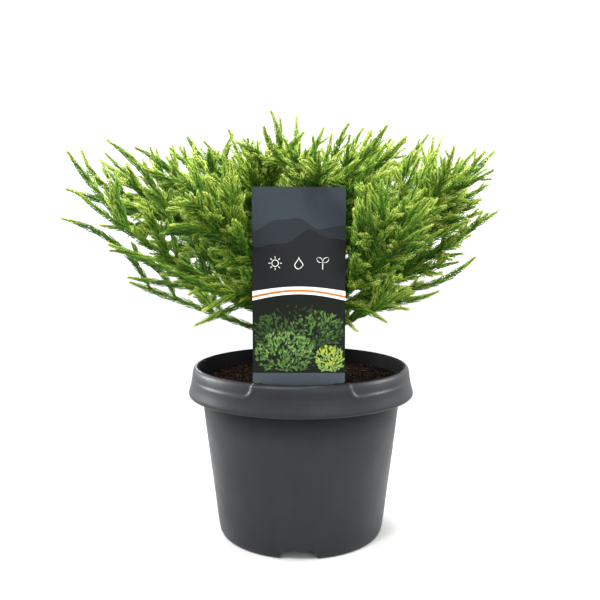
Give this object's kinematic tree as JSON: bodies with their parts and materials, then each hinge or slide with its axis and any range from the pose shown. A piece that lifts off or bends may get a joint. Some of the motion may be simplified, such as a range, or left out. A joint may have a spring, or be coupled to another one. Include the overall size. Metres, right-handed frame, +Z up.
{
  "type": "potted dwarf japanese cedar",
  "caption": "Spreading dwarf conifer with feathery shoots on a short trunk, in a round tapered nursery pot with a flared collar, soil and a plain plant label.",
  "frame": {"origin": "middle of the pot's flat underside", "axes": "+Z up, the plant label stands at the front towards -Y, +X to the right of someone who faces it"},
  "size_m": [0.405, 0.3922, 0.4268],
  "materials": {
    "pot": "satin anthracite",
    "soil": "loose dark peat",
    "label": "printed card",
    "bark": "reddish brown bark",
    "foliage": "fresh green needles"
  },
  "bodies": {
    "root": {"low_bough_1": "bark", "low_bough_2": "bark", "low_bough_3": "bark", "low_bough_4": "bark", "low_bough_5": "bark", "low_bough_6": "bark", "low_bough_7": "bark", "low_bough_8": "bark", "low_foliage_1": "foliage", "low_foliage_2": "foliage", "low_foliage_3": "foliage", "low_foliage_4": "foliage", "low_foliage_5": "foliage", "low_foliage_6": "foliage", "low_foliage_7": "foliage", "low_foliage_8": "foliage", "mid_bough_1": "bark", "mid_bough_2": "bark", "mid_bough_3": "bark", "mid_bough_4": "bark", "mid_bough_5": "bark", "mid_bough_6": "bark", "mid_bough_7": "bark", "mid_bough_8": "bark", "mid_bough_9": "bark", "mid_bough_10": "bark", "mid_foliage_1": "foliage", "mid_foliage_2": "foliage", "mid_foliage_3": "foliage", "mid_foliage_4": "foliage", "mid_foliage_5": "foliage", "mid_foliage_6": "foliage", "mid_foliage_7": "foliage", "mid_foliage_8": "foliage", "mid_foliage_9": "foliage", "mid_foliage_10": "foliage", "plant_label": "label", "pot": "pot", "soil": "soil", "top_foliage": "foliage", "trunk": "bark", "upper_bough_1": "bark", "upper_bough_2": "bark", "upper_bough_3": "bark", "upper_bough_4": "bark", "upper_bough_5": "bark", "upper_bough_6": "bark", "upper_foliage_1": "foliage", "upper_foliage_2": "foliage", "upper_foliage_3": "foliage", "upper_foliage_4": "foliage", "upper_foliage_5": "foliage", "upper_foliage_6": "foliage"}
  },
  "joints": []
}
